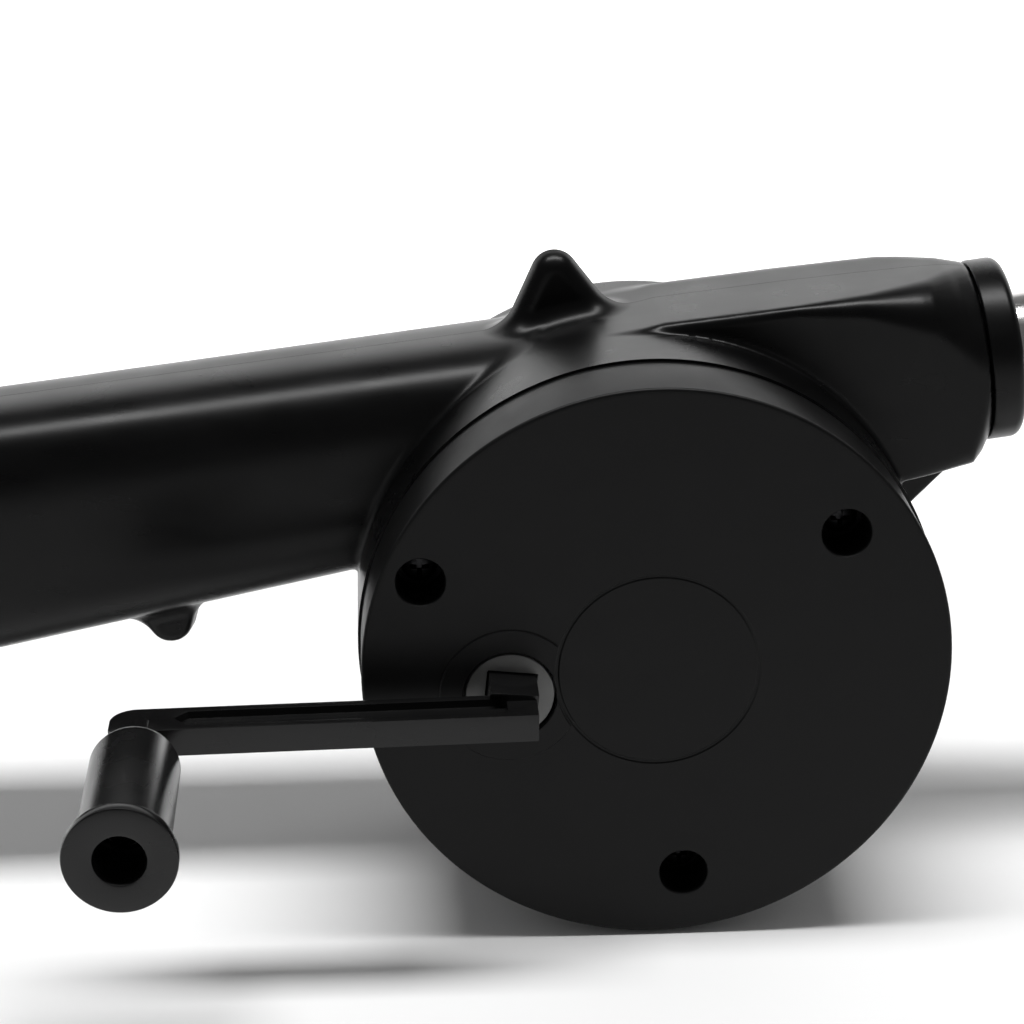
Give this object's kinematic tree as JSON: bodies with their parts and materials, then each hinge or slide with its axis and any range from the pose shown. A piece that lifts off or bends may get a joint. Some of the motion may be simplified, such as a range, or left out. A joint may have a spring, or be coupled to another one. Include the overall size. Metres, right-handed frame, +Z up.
{
  "type": "hand crank air blower",
  "caption": "Hand-cranked fire blower: geared fan in a round plastic drum, with a side crank, a long hollow handle and a metal air tube.",
  "frame": {"origin": "centre of the cover's flat front face, on the drum's axis", "axes": "+X towards the outlet tube, +Y rearward along the drum's axis, +Z up as the blower stands on its drum rim"},
  "size_m": [0.3133, 0.1172, 0.1155],
  "materials": {
    "black_plastic": "black moulded plastic, satin",
    "crank_plastic": "black moulded plastic, semi-gloss",
    "natural_nylon": "off-white natural nylon",
    "gear_resin": "cream acetal",
    "bright_steel": "bright turned steel",
    "black_steel": "black-oxide steel",
    "polished_tube": "polished thin tube",
    "sintered_brass": "plain sintered bronze"
  },
  "bodies": {
    "housing": {"front_cover": "black_plastic", "cover_screw_1": "black_steel", "cover_screw_2": "black_steel", "cover_screw_3": "black_steel", "front_casing": "black_plastic", "rear_casing": "black_plastic", "ear_screw_1": "black_steel", "ear_screw_2": "black_steel", "ear_screw_3": "black_steel", "handle_screw": "black_steel", "drum_screw": "black_steel", "outlet_collar": "black_plastic", "air_tube": "polished_tube", "idler_pin": "bright_steel", "front_bush": "sintered_brass", "rear_bush": "sintered_brass"},
    "crank": {"crank_arm": "crank_plastic", "crank_gear": "natural_nylon", "grip_washer": "bright_steel", "grip_screw": "black_steel"},
    "grip": {"crank_grip": "crank_plastic"},
    "idler": {"idler_gear": "gear_resin"},
    "fan": {"fan_shaft": "bright_steel", "fan_pinion": "sintered_brass", "fan_impeller": "black_plastic", "shaft_clip": "bright_steel"}
  },
  "joints": [
    {"name": "crank_turn", "type": "hinge", "parent": "housing", "child": "crank", "pos_m": [-0.025, 0, -0.004], "axis": [0, -1, 0], "continuous": true},
    {"name": "grip_spin", "type": "hinge", "parent": "crank", "child": "grip", "pos_m": [-0.0862, 0, -0.0047], "axis": [0, -1, 0], "continuous": true},
    {"name": "idler_turn", "type": "hinge", "parent": "housing", "child": "idler", "pos_m": [-0.00975, 0, 0.01453], "axis": [0, -1, 0], "continuous": true},
    {"name": "fan_turn", "type": "hinge", "parent": "housing", "child": "fan", "pos_m": [0, 0, 0], "axis": [0, -1, 0], "continuous": true}
  ],
  "couplings": [
    {"joint": "idler_turn", "follows": "crank_turn", "ratio": -4},
    {"joint": "fan_turn", "follows": "crank_turn", "ratio": 16}
  ]
}
